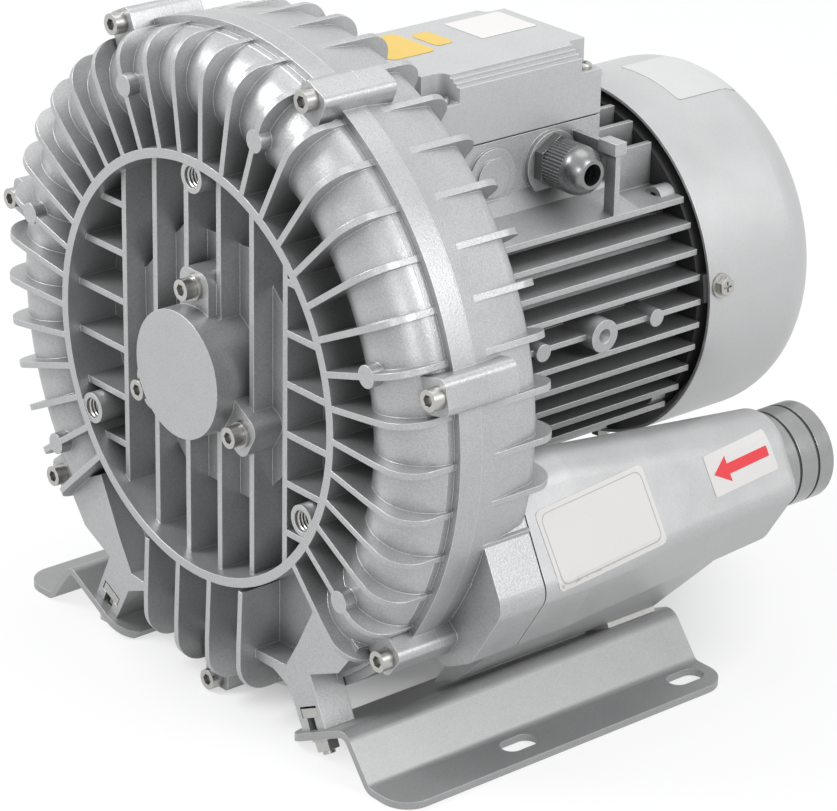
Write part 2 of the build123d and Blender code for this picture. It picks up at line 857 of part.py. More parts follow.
def bearing(bore, outer, width, ball_radius, ball_count, front):
    """Outer ring, inner ring and the set of balls in their cage, for a deep groove bearing."""
    rear = front + width
    middle = (front + rear) / 2
    pitch = (bore + outer) / 4
    land = ball_radius * 0.62
    outer_ring = race(outer / 2, pitch + land, pitch, ball_radius, front, rear)
    inner_ring = race(pitch - land, bore / 2, pitch, ball_radius, front, rear)
    cage = tube(pitch + 1.2, pitch - 1.2, middle - ball_radius - 1.2, middle + ball_radius + 1.2)
    balls = []
    for angle in circle_angles(ball_count, 90.0):
        x, z = polar(pitch, angle)
        ball = Pos(x, middle, z) * Sphere(ball_radius)
        balls.append(ball)
        cage -= around(Pos(pitch, middle, 0) * Rot(0, 90, 0) * Cylinder(ball_radius + 0.2, 8), angle)
    return outer_ring, inner_ring, [cage] + balls


def impeller():
    """The bladed wheel: a disc with canted blades on both sides of its rim."""
    root = channel_inner + impeller_gap
    tip = channel_outer - impeller_gap
    front = chamber_front + impeller_gap
    rear = chamber_rear - impeller_gap
    wheel = disc(root + 3, parting_y - impeller_disc / 2, parting_y + impeller_disc / 2)
    wheel += tube(tip, root, parting_y - 1.5, parting_y + 1.5)
    wheel += disc(impeller_hub_radius, impeller_hub_front, impeller_hub_rear)
    half = blade_thickness / 2
    chevron = Polygon(
        (blade_cant - half, front),
        (blade_cant + half, front),
        (half, parting_y),
        (blade_cant + half, rear),
        (blade_cant - half, rear),
        (-half, parting_y),
        align=None,
    )
    side = Plane(origin=(root - 0.6, 0, 0), x_dir=(0, 0, 1), z_dir=(-1, 0, 0))
    blade = extrude(side * chevron, tip - root + 0.6, dir=(1, 0, 0))
    blade = blade & tube(tip, root - 0.5, front, rear)
    blades = [around(blade, angle) for angle in circle_angles(blade_count, 0.0)]
    wheel = wheel.fuse(*blades)
    wheel -= disc(cover_bearing_bore / 2 + screw_gap, impeller_hub_front - 1, impeller_hub_rear + 1)
    for angle in circle_angles(6, 0.0):
        x, z = polar(62.0, angle)
        wheel -= disc(9.0, parting_y - 10, parting_y + 10, x, z)
    side = 4 + screw_gap
    keyway = block(-side, side, impeller_hub_front - 1, impeller_hub_rear + 1, 0, key_top() + 0.3)
    return wheel - keyway


def key_top():
    """Height of the impeller key above the shaft axis."""
    return cover_bearing_bore / 2 + 3.3


def shaft():
    """The one shaft that carries the impeller, the rotor and the cooling fan."""
    nose = cover_bearing_bore / 2
    body = disc(nose, cover_bearing_front + 0.5, impeller_hub_rear)
    body += disc(shaft_radius, impeller_hub_rear, stator_front - 12)
    body += disc(shaft_radius + 3, stator_front - 12, stator_front + stator_length + 12)
    body += disc(shaft_radius, stator_front + stator_length + 12, rear_bearing_front)
    body += disc(rear_bearing_bore / 2, rear_bearing_front, fan_front)
    body += disc(rear_bearing_bore / 2 - 1, fan_front, shaft_rear)
    side = 4 + screw_gap
    body -= block(-side, side, impeller_hub_front, impeller_hub_rear - 1, nose - 4, nose + 5)
    body -= disc(4.05, cover_bearing_front - 1, cover_bearing_front + 18)
    body -= tube(rear_bearing_bore / 2 + 3, rear_bearing_bore / 2 - 2, fan_rear - 0.1, fan_rear + 1.1)
    return body


def impeller_key():
    """The key between the shaft and the impeller."""
    nose = cover_bearing_bore / 2
    return block(-4, 4, impeller_hub_front + 0.5, impeller_hub_rear - 1.5, nose - 4, key_top())


def spacer_sleeve():
    """The sleeve between the outer bearing and the impeller's hub."""
    bore = cover_bearing_bore / 2
    return tube(bore + 4, bore + screw_gap, cover_bearing_front + cover_bearing_width, impeller_hub_front)


def shaft_end_washer():
    """The washer that clamps the outer bearing's inner ring to the shaft."""
    return tube(15.5, 4.3, cover_bearing_front - 3.0, cover_bearing_front)


def shaft_end_screw():
    """The screw in the end of the shaft."""
    seat = cover_bearing_front - 3.0
    return cap_screw(seat, 18.0, 0, 0, 6.5, 5.0, 4.0, 6.0)


def shaft_seal():
    """The lip seal in the casing behind the impeller."""
    front = flange_rear + 1
    return tube(seal_radius, shaft_radius + 0.1, front, front + seal_width)


def fin_reach(z):
    """Half width of the motor's fin outline at a height."""
    return math.sqrt(frame_fin_radius ** 2 - z ** 2)


def motor_frame():
    """The finned motor housing, cast in one with the lower half of its terminal box."""
    front = motor_front + motor_flange_depth
    parts = [disc(frame_core_radius, motor_front + 1, frame_rear)]
    parts += motor_fins(front - 1)
    parts.append(box_base_solid())
    for y, radius, x_end in ((134.0, 4.3, 88.5), (170.0, 8.0, 90.5), (205.0, 4.3, 88.5)):
        boss = Pos(x_end / 2 + 30, y, frame_fin_raise) * Rot(0, 90, 0) * Cylinder(radius, x_end - 60)
        parts += both_sides(boss)
    for angle in shield_screw_angles():
        front_face = frame_rear - shield_lug_depth
        root = frame_core_radius - 8
        parts.append(radial_slab(root, shield_screw_circle, 11, front_face, frame_rear, angle, 5.5))
    body = disc(motor_flange_radius, motor_front, front).fuse(*parts)
    cuts = [disc(frame_core_radius - frame_wall, motor_front - 1, frame_rear + 1)]
    cuts.append(box_cavity())
    cuts.append(Pos(0, box_front + 18, 60) * Cylinder(9, 40))
    entry = Rot(0, 90, 0) * Cylinder(cable_thread_radius + 0.3, 20)
    cuts.append(Pos(box_half_width, gland_y, gland_z) * entry)
    cuts += both_sides(Pos(88.1, 170, frame_fin_raise) * Rot(0, 90, 0) * Cone(0.4, 3.6, 5))
    for angle in circle_angles(4, 45.0):
        x, z = polar(motor_flange_radius - 6, angle)
        cuts.append(disc(m6_radius + clearance_hole, motor_front - 1, front + 1, x, z))
        cuts.append(disc(m6_head_radius + 0.6, front, front + m6_head_height + 1, x, z))
    for angle in shield_screw_angles():
        x, z = polar(shield_screw_circle, angle)
        cuts.append(disc(2.5 + screw_gap, frame_rear - shield_lug_depth - 1, frame_rear + 1, x, z))
    for x, y in lid_screw_places():
        cuts.append(Pos(x, y, box_seam_height - 6) * Cylinder(2.05, 14))
    return body.cut(*cuts)


def motor_fins(front):
    """Level fins on both flanks, and upright fins below and behind the terminal box."""
    half = frame_fin_thickness / 2
    fins = []
    for step in range(-5, 4):
        z = step * frame_fin_pitch + frame_fin_raise
        reach = fin_reach(z)
        fins.append(block(-reach, reach, front, frame_rear, z - half, z + half))
    for step in (-2, -1, 0, 1, 2):
        x = step * frame_fin_pitch
        fins.append(block(x - half, x + half, front, frame_rear, -fin_reach(x), 0))
    for step in (0.5, 1.5, 2.5, 3.5):
        for x in (-step * upright_pitch, step * upright_pitch):
            fins.append(block(x - half, x + half, box_rear - 1, frame_rear, 0, fin_reach(x)))
            fins.append(block(x - half, x + half, front, box_front + 1, 0, fin_reach(x)))
    return fins


def box_cavity():
    """The hollow of the terminal box, which ends on the motor's round core."""
    x = box_half_width - box_wall
    low = box_seam_height - box_depth
    hollow = block(-x, x, box_front + box_wall, box_rear - box_wall, low, box_seam_height + 1)
    hollow -= disc(frame_core_radius, box_front, box_rear)
    for y in (board_front + 3, board_front + board_length - 3):
        hollow -= block(-24, 24, y - 3, y + 3, 0, board_height)
    return hollow


def shield_screw_angles():
    """Four lugs carry the end shield."""
    return [40.0, 140.0, 220.0, 320.0]


def box_base_solid():
    """The outside of the terminal box's lower half, with its skirt, cable bosses and rear rib."""
    w = box_half_width
    s = skirt_half_width
    outline = Polygon(
        (-s, skirt_height - 3),
        (s, skirt_height - 3),
        (s, skirt_height),
        (w + 8, skirt_height + 5),
        (w, skirt_height + 12),
        (w, box_seam_height),
        (-w, box_seam_height),
        (-w, skirt_height + 12),
        (-w - 8, skirt_height + 5),
        (-s, skirt_height),
        align=None,
    )
    base = slab(outline, box_front, box_rear)
    base += block(-s, s, box_rear - 1, frame_rear, skirt_height - 3, skirt_height)
    base += Pos(w, gland_y, gland_z - 1.5) * Rot(0, 90, 0) * Cylinder(15.5, 5)
    base += Pos(w - 0.5, gland_y - 36, gland_z - 1.5) * Rot(0, 90, 0) * Cylinder(14, 4)
    base += Pos(w, gland_y - 36, gland_z - 1.5) * Rot(0, 90, 0) * Cylinder(9.5, 5)
    rib_y = gland_y + gland_hex / 2 + 2.5
    base += block(w - 2, 66, rib_y, rib_y + 3, gland_z + 4, gland_z + 11)
    base += block(64, 71, rib_y, rib_y + 3, skirt_height - 2, gland_z + 11)
    base += block(61.5, 73, rib_y - 2.5, rib_y + 4.5, gland_z + 7, gland_z + 13)
    return base


def lid_screw_places():
    """X and Y of the four lid screws, in the lid's corner notches."""
    inset = lid_notch / 2
    places = []
    for x in (-box_half_width + inset, box_half_width - inset):
        for y in (box_front + inset, box_rear - inset):
            places.append((x, y))
    return places


def terminal_lid():
    """The lid, with stepped long edges and a notch at each corner for its screw."""
    w = box_half_width
    top = lid_top
    outline = [(-w, gasket_top)]
    outline.append((w, gasket_top))
    for i in range(4):
        outline.append((w - i * lid_step_width, top - (3 - i) * lid_step))
        outline.append((w - (i + 1) * lid_step_width, top - (3 - i) * lid_step))
    for i in range(4, 0, -1):
        outline.append((-w + i * lid_step_width, top - (4 - i) * lid_step))
        outline.append((-w + (i - 1) * lid_step_width, top - (4 - i) * lid_step))
    lid = slab(Polygon(*outline, align=None), box_front, box_rear)
    inner = w - box_wall
    lid -= block(-inner, inner, box_front + box_wall, box_rear - box_wall, gasket_top - 1, top - 8)
    seat = lid_screw_seat()
    post = lid_notch + 2.5
    size = lid_notch + 10
    for x, y in lid_screw_places():
        side = 1 if x > 0 else -1
        end = 1 if y > (box_front + box_rear) / 2 else -1
        corner = Pos(x + side * lid_notch / 2, y + end * lid_notch / 2, 0)
        height = top - 7 - gasket_top
        centre = 0.5 + post / 2
        lid += corner * Pos(-side * centre, -end * centre, gasket_top + height / 2) * Box(post, post, height)
        shift = size / 2 - lid_notch
        notch = extrude(RectangleRounded(size, size, 5.5), 20)
        lid -= corner * Pos(side * shift, end * shift, seat) * notch
        lid -= Pos(x, y, seat) * Cylinder(2.3, 80)
    return lid


def lid_screw_seat():
    """Height of the seats of the lid screws."""
    return lid_top - 12.0


def lid_gasket():
    """The flat gasket under the lid."""
    w = box_half_width - 1.2
    inner = box_half_width - box_wall - lid_notch + 4
    sheet = block(-w, w, box_front + 1.2, box_rear - 1.2, box_seam_height, gasket_top)
    sheet -= block(-inner, inner, box_front + 5, box_rear - 5, box_seam_height - 1, gasket_top + 1)
    for x, y in lid_screw_places():
        sheet -= Pos(x, y, box_seam_height) * Cylinder(2.3, 8)
    return sheet


def lid_screws():
    """The four pan head screws of the lid."""
    screws = []
    seat = lid_screw_seat()
    for x, y in lid_screw_places():
        head = Pos(x, y, seat) * extrude(Circle(4.2), 2.6)
        head = fillet(head.edges().group_by(Axis.Z)[-1], 1.3)
        slot = Pos(x, y, seat + 2.6) * (Box(5, 1, 2) + Box(1, 5, 2))
        shank = Pos(x, y, (seat + box_seam_height - 8) / 2) * Cylinder(2.0, seat - box_seam_height + 8)
        screws.append((head - slot) + shank)
    return screws


def terminal_board():
    """The board in the box, with raised ribs between its six terminals."""
    low = board_height
    rear = board_front + board_length
    board = block(-26, 26, board_front, rear, low, low + 6)
    for x in (-9.0, 9.0):
        board += block(x - 1, x + 1, board_front + 2, rear - 2, low + 6, low + 12)
    for x, y in stud_places():
        board -= Pos(x, y, low + 3) * Cylinder(2.1, 10)
    return board


def stud_places():
    """X and Y of the six terminal studs."""
    return [(x, board_front + y) for x in (-18.0, 0.0, 18.0) for y in (13.0, 37.0)]


def terminal_studs():
    """The six brass studs."""
    return [Pos(x, y, board_height + 8.5) * Cylinder(2.0, 16) for x, y in stud_places()]


def terminal_nuts():
    """The six brass nuts on the studs."""
    low = board_height + 7.2
    return [Pos(x, y, low) * hex_prism(7.0, 3.2, 2.05) for x, y in stud_places()]


def terminal_links():
    """The three flat links that join the studs in pairs."""
    low = board_height + 6.0
    links = []
    for x in (-18.0, 0.0, 18.0):
        link = block(x - 4, x + 4, board_front + 8, board_front + 42, low, low + 1.2)
        for place in stud_places():
            link -= Pos(place[0], place[1], low) * Cylinder(2.05, 6)
        links.append(link)
    return links


def along_x(shape, x):
    """Lays a shape made along Z out along +X from the gland's wall."""
    return Pos(x, gland_y, gland_z) * Rot(0, 90, 0) * shape


def gland_wall():
    """X of the boss face that the gland screws against."""
    return box_half_width + 2.5


def gland_body():
    """The gland's body: a hexagon flange, a stub through the wall and a stub for the cap nut."""
    flange = extrude(RegularPolygon(gland_hex / 2, 6, major_radius=False), 5)
    stub = Pos(0, 0, -6.5) * Cylinder(cable_thread_radius, 13)
    nose = Pos(0, 0, 9.5) * Cylinder(10.0, 9)
    body = flange + stub + nose
    body -= Pos(0, 0, -3) * Cylinder(gland_bore + 0.8, 22)
    body -= Pos(0, 0, 11) * Cylinder(7.8, 8)
    return along_x(body, gland_wall())


def gland_cap_nut():
    """The cap nut with its domed nose."""
    length = 22.0
    bore = gland_bore + 0.6
    wide = gland_nut_radius
    profile = make_face([
        Line((10.1, 0), (wide, 0)),
        Line((wide, 0), (wide, 12)),
        ThreePointArc((wide, 12), (wide - 1.6, 18.5), (7.0, length)),
        Line((7.0, length), (bore, length)),
        Line((bore, length), (bore, length - 4)),
        Line((bore, length - 4), (8.3, 10.0)),
        Line((8.3, 10.0), (10.1, 10.0)),
        Line((10.1, 10.0), (10.1, 0)),
    ])
    return along_x(revolve(Plane.XZ * profile, axis=Axis.Z), gland_wall() + 5.0)


def gland_seal():
    """The rubber sleeve that grips a cable."""
    sleeve = Cylinder(7.7, 9) - Cylinder(gland_bore, 12)
    return along_x(Pos(0, 0, 11.6) * sleeve, gland_wall())


def gland_locknut():
    """The nut on the gland's stub inside the box."""
    nut = hex_prism(22.0, 3.5, cable_thread_radius + screw_gap)
    return along_x(nut, box_half_width - box_wall - 3.5)


def stator_core():
    """The laminated stator ring with its slots."""
    rear = stator_front + stator_length
    core = tube(frame_core_radius - frame_wall - screw_gap, stator_bore, stator_front, rear)
    cuts = []
    for angle in circle_angles(stator_slots, 0.0):
        cuts.append(radial_slab(stator_bore + 2.5, 53, 5.0, stator_front - 1, rear + 1, angle))
    return core.cut(*cuts)


def stator_windings():
    """The coils: a bar in each slot and a wound ring at each end."""
    rear = stator_front + stator_length
    front_end = stator_front - winding_overhang
    rings = tube(56, stator_bore + 4, front_end, stator_front - 0.2)
    rings += tube(56, stator_bore + 4, rear + 0.2, rear + winding_overhang)
    bars = []
    for angle in circle_angles(stator_slots, 0.0):
        bars.append(radial_slab(stator_bore + 5, 52.5, 4.6, stator_front - 1, rear + 1, angle))
    return rings.fuse(*bars)


def rotor_core():
    """The laminated rotor."""
    rear = stator_front + stator_length
    return tube(stator_bore - air_gap, shaft_radius + 3 + screw_gap, stator_front, rear)


def rotor_end_rings():
    """The cast rings at both ends of the rotor, with small mixing vanes."""
    rear = stator_front + stator_length
    rings = []
    for front, back, tip in ((stator_front - 8, stator_front, -1), (rear, rear + 8, 1)):
        ring = tube(stator_bore - 3, shaft_radius + 8, front, back)
        for angle in circle_angles(6, 0.0):
            vane_front = front - 6 if tip < 0 else back - 0.5
            ring += radial_slab(shaft_radius + 10, stator_bore - 4, 2.0, vane_front, vane_front + 6.5, angle)
        rings.append(ring)
    return rings


def rear_end_shield():
    """The shield that closes the motor's rear, with the rear bearing seat and the cowl's lugs."""
    rear = frame_rear + shield_thickness
    body = disc(shield_screw_circle + 5.5, frame_rear, rear)
    body += disc(rear_bearing_outer / 2 + 6, frame_rear - 3, rear_bearing_rear + 1)
    lugs = []
    for angle in cowl_screw_angles():
        lugs.append(radial_slab(frame_core_radius - 8, cowl_radius, 14, frame_rear, rear + 7, angle))
    inside = disc(cowl_radius - cowl_wall - screw_gap, frame_rear, rear + 7)
    body = body.fuse(*[lug & inside for lug in lugs])
    cuts = [disc(rear_bearing_outer / 2 + screw_gap, rear_bearing_front, rear_bearing_rear + 2)]
    cuts.append(disc(rear_bearing_bore / 2 + 6.5, frame_rear - 4, rear_bearing_rear + 2))
    for angle in shield_screw_angles():
        x, z = polar(shield_screw_circle, angle)
        cuts.append(disc(2.5 + clearance_hole, frame_rear - 1, rear + 1, x, z))
    for angle in cowl_screw_angles():
        hole = Pos(cowl_radius - 8, cowl_screw_y(), 0) * Rot(0, 90, 0) * Cylinder(2.5 + screw_gap, 20)
        cuts.append(around(hole, angle))
    return body.cut(*cuts)


def cowl_screw_angles():
    """Four screws hold the cowl."""
    return circle_angles(4, cowl_screw_angle)


def cowl_screw_y():
    """Y of the cowl screws."""
    return frame_rear + shield_thickness + 1.0


def shield_screws():
    """The four screws between the end shield and the motor frame."""
    screws = []
    rear = frame_rear + shield_thickness
    for angle in shield_screw_angles():
        x, z = polar(shield_screw_circle, angle)
        screw = cap_screw(-rear, shield_thickness + shield_lug_depth - 1, x, z, 4.25, 5.0, 2.5, 4.0)
        screws.append(mirror(screw, about=Plane.XZ))
    return screws


def wave_spring():
    """The spring washer that loads the rear bearing towards the cover."""
    outer = rear_bearing_outer / 2 - 0.6
    return tube(outer, rear_bearing_bore / 2 + 7.2, rear_bearing_rear + screw_gap, rear_bearing_rear + 1.0)


def motor_screws():
    """The four screws between the motor's flange and the casing."""
    screws = []
    seat = motor_front + motor_flange_depth
    for angle in circle_angles(4, 45.0):
        x, z = polar(motor_flange_radius - 6, angle)
        screw = m6_screw(-seat, motor_flange_depth + 16, x, z)
        screws.append(mirror(screw, about=Plane.XZ))
    return screws


def cowl_profile(inset):
    """Half section of the cowl, solid to the axis, in radius and Y."""
    radius = cowl_radius - inset
    rear = cowl_rear - inset
    rounding = cowl_rounding - inset
    corner = rounding * (1 - math.sqrt(0.5))
    return make_face([
        Line((0, cowl_front), (radius, cowl_front)),
        Line((radius, cowl_front), (radius, rear - rounding)),
        ThreePointArc((radius, rear - rounding), (radius - corner, rear - corner), (radius - rounding, rear)),
        Line((radius - rounding, rear), (0, rear)),
        Line((0, rear), (0, cowl_front)),
    ])


def fan_cowl():
    """The pressed cowl over the cooling fan, with a grille of arc slots in its rear."""
    shell = spin(cowl_profile(0.0)) - spin(cowl_profile(cowl_wall))
    shell -= disc(cowl_radius - cowl_wall, cowl_front - 1, cowl_front + 5)
    bridge = block(-cowl_radius, cowl_radius, 0, cowl_rear + 5, -grille_bridge / 2, grille_bridge / 2)
    cuts = []
    for ring in range(6):
        inner = 14.0 + ring * (grille_slot_width + 4.0)
        slot = tube(inner + grille_slot_width, inner, cowl_rear - 5, cowl_rear + 5)
        for angle in (30.0, 90.0, 150.0):
            slot -= around(bridge, angle)
        cuts.append(slot)
    for angle in cowl_screw_angles():
        hole = Pos(cowl_radius - 1, cowl_screw_y(), 0) * Rot(0, 90, 0) * Cylinder(2.5 + clearance_hole, 10)
        cuts.append(around(hole, angle))
    return shell.cut(*cuts)


def cowl_screws():
    """The four screws of the cowl, with cross slots in their hexagon heads."""
    screws = []
    for angle in cowl_screw_angles():
        head = extrude(RegularPolygon(4.0, 6, major_radius=False), 3.4)
        head -= Pos(0, 0, 3.4) * (Box(5, 1, 1.6) + Box(1, 5, 1.6))
        shank = Pos(0, 0, -6.5) * Cylinder(2.5, 13)
        screw = Pos(cowl_radius + 1.1, cowl_screw_y(), 0) * Rot(0, 90, 0) * (head + shank)
        screws.append(around(screw, angle))
    return screws


def cowl_washers():
    """The washers under the cowl screws."""
    washers = []
    for angle in cowl_screw_angles():
        ring = Cylinder(6.0, 1.0) - Cylinder(2.7, 3)
        flat = Pos(cowl_radius + 0.6, cowl_screw_y(), 0) * Rot(0, 90, 0) * ring
        washers.append(around(flat, angle))
    return washers


def cooling_fan():
    """The straight-bladed fan on the shaft's rear end."""
    hub = disc(16, fan_front, fan_rear)
    plate = disc(fan_radius - 12, fan_front, fan_front + 2.5)
    blades = []
    for angle in circle_angles(fan_blades, 0.0):
        blades.append(radial_slab(12, fan_radius, 2.2, fan_front, fan_rear - 1, angle))
    fan = hub.fuse(plate, *blades)
    return fan - disc(rear_bearing_bore / 2 - 1 + screw_gap, fan_front - 1, fan_rear + 1)


def fan_clip():
    """The ring clip that keeps the fan on its shaft."""
    shaft_end = rear_bearing_bore / 2 - 1
    ring = tube(shaft_end + 3, shaft_end - 0.8, fan_rear, fan_rear + 1.0)
    return ring - block(-2, 2, fan_rear - 1, fan_rear + 3, 0, 20)


def write(name, pieces):
    """Moves a node's solids into the part's frame and writes them to one file."""
    solids = []
    for piece in pieces if isinstance(pieces, (list, tuple)) else [pieces]:
        solids += [to_frame * solid for solid in piece.solids()]
    shape = solids[0] if len(solids) == 1 else Compound(children=solids)
    export_step(shape, f"parts/{name}.step")


def main():
    """Builds every node."""
    os.makedirs("parts", exist_ok=True)
    write("front_cover", front_cover())
    write("rear_casing", rear_casing())
    write("cover_screws", cover_screws())
    write("hub_screws", hub_screws())
    write("hub_washers", hub_washers())
    write("bearing_retainer", bearing_retainer())
    outer, inner, balls = bearing(cover_bearing_bore, cover_bearing_outer, cover_bearing_width,
                                  cover_ball_radius, cover_ball_count, cover_bearing_front)
    write("cover_bearing_outer_ring", outer)
    write("cover_bearing_inner_ring", inner)
    write("cover_bearing_balls", balls)
    outer, inner, balls = bearing(rear_bearing_bore, rear_bearing_outer, rear_bearing_width,
                                  rear_ball_radius, rear_ball_count, rear_bearing_front)
    write("rear_bearing_outer_ring", outer)
    write("rear_bearing_inner_ring", inner)
    write("rear_bearing_balls", balls)
    write("shaft_seal", shaft_seal())
    write("shaft", shaft())
    write("impeller", impeller())
    write("impeller_key", impeller_key())
    write("spacer_sleeve", spacer_sleeve())
    write("shaft_end_washer", shaft_end_washer())
    write("shaft_end_screw", shaft_end_screw())
    write("rotor_core", rotor_core())
    write("rotor_end_rings", rotor_end_rings())
    write("cooling_fan", cooling_fan())
    write("fan_clip", fan_clip())
    write("motor_frame", motor_frame())
    write("motor_screws", motor_screws())
    write("stator_core", stator_core())
    write("stator_windings", stator_windings())
    write("rear_end_shield", rear_end_shield())
    write("shield_screws", shield_screws())
    write("wave_spring", wave_spring())
    write("fan_cowl", fan_cowl())
    write("cowl_screws", cowl_screws())
    write("cowl_washers", cowl_washers())
    write("terminal_lid", terminal_lid())
    write("lid_gasket", lid_gasket())
    write("lid_screws", lid_screws())
    write("terminal_board", terminal_board())
    write("terminal_studs", terminal_studs())
    write("terminal_nuts", terminal_nuts())
    write("terminal_links", terminal_links())
    write("gland_body", gland_body())
    write("gland_cap_nut", gland_cap_nut())
    write("gland_seal", gland_seal())
    write("gland_locknut", gland_locknut())
    body = silencer_body() - rest_bolt_hole()
    for name, piece in (("silencer", body), ("spigot", port_spigot())):
        right, left = both_sides(piece)
        write("inlet_" + name, right)
        write("outlet_" + name, left)
    write("silencer_liners", both_sides(silencer_liner()))
    write("port_gaskets", both_sides(port_gasket()))
    rings = spigot_rings()
    write("spigot_rings", rings + [mirror(ring, about=Plane.YZ) for ring in rings])
    right, left = both_sides(foot_sheet())
    write("right_foot", right)
    write("left_foot", left)
    write("foot_bolts", both_sides(foot_bolt()))
    write("foot_nuts", both_sides(foot_nut()))
    write("foot_washers", both_sides(foot_washer()))
    write("rest_bolts", both_sides(rest_bolt()))
    write("rest_pads", both_sides(rest_pad_piece()))
    screws = []
    for x, z in ear_places():
        seat = -(port_face + gasket_thickness + 9.0)
        screw = m6_screw(seat, 18.0, x, z)
        screws += both_sides(mirror(screw, about=Plane.XZ))
    write("silencer_screws", screws)


main()
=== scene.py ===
import json
import math

import bmesh
import bpy
from mathutils import Matrix, Vector
from mathutils.bvhtree import BVHTree


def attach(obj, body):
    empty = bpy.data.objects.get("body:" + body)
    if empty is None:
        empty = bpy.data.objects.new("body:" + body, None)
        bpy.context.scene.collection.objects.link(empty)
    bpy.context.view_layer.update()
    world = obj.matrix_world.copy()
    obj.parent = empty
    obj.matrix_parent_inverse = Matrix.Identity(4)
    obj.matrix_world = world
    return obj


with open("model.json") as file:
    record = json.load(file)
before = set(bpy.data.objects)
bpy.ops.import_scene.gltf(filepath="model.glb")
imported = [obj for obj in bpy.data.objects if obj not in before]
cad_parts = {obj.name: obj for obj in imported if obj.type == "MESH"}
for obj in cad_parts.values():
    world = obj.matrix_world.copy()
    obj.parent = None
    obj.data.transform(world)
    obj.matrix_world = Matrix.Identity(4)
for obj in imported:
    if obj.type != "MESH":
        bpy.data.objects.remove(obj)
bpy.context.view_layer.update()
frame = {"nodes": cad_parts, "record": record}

NODES = frame["nodes"]
MM = 0.001

# Where the shaft axis and the front of the cover's ring lie in the shared frame, in metres
SHAFT_HEIGHT = 0.165
RING_FRONT = -0.1547

# Scales of the noise textures, in waves per metre
BROAD_SCALE = 34.0
FINE_SCALE = 420.0
SPECKLE_SCALE = 1500.0
PLATING_SCALE = 300.0
WAVE_SCALE = 60.0
WEAR_SCALE = 900.0

# Stickers: how high they lie above the surface, how thick they are and how fine their mesh is, in metres
STICKER_LIFT = 0.0001
STICKER_THICKNESS = 0.00012
PLATE_THICKNESS = 0.00015
PRINT_LIFT = 0.00024
LINE_THICKNESS = 0.00005
ARROW_THICKNESS = 0.00006
FILM_CELL = 0.004
CAST_DISTANCE = 0.05

# The three threaded bosses of the front cover, in millimetres
BOSS_CIRCLE = 92.0
BOSS_ANGLES = (90.0, 210.0, 330.0)
THREAD_START = 1.8
THREAD_RADIUS = 5.08
THREAD_DEPTH = 0.75
THREAD_PITCH = 1.75
THREAD_TURNS = 9
THREAD_STEPS = 28

# Floor and lamps
FLOOR_HALF = 4.0
FLOOR_HEIGHT = -0.0004
LAMP_TARGET = (0, 0, 0.15)

# The photograph's camera: size and focal length in pixels, principal point, directions in degrees
PHOTO_WIDTH = 837.0
FOCAL_LENGTH = 3555.12
PHOTO_MIDDLE = (418.5, 405.5)
PRINCIPAL_POINT = (409.65, 403.75)
CAMERA_AZIMUTH = 49.77
CAMERA_ELEVATION = 23.22
CAMERA_ROLL = -1.02
SENSOR_WIDTH = 36.0


def at(x, y, z):
    """A point given in millimetres from the shaft axis and the front of the cover's ring."""
    return Vector((x * MM, y * MM + RING_FRONT, z * MM + SHAFT_HEIGHT))


# Shader building

def background_rays(tree):
    """One for the rays that see the white background: those of the camera, reflections and transmission."""
    path = tree.nodes.new("ShaderNodeLightPath")
    seen = path.outputs["Is Camera Ray"]
    for kind in ("Is Glossy Ray", "Is Transmission Ray"):
        larger = tree.nodes.new("ShaderNodeMath")
        larger.operation = "MAXIMUM"
        tree.links.new(seen, larger.inputs[0])
        tree.links.new(path.outputs[kind], larger.inputs[1])
        seen = larger.outputs[0]
    return seen


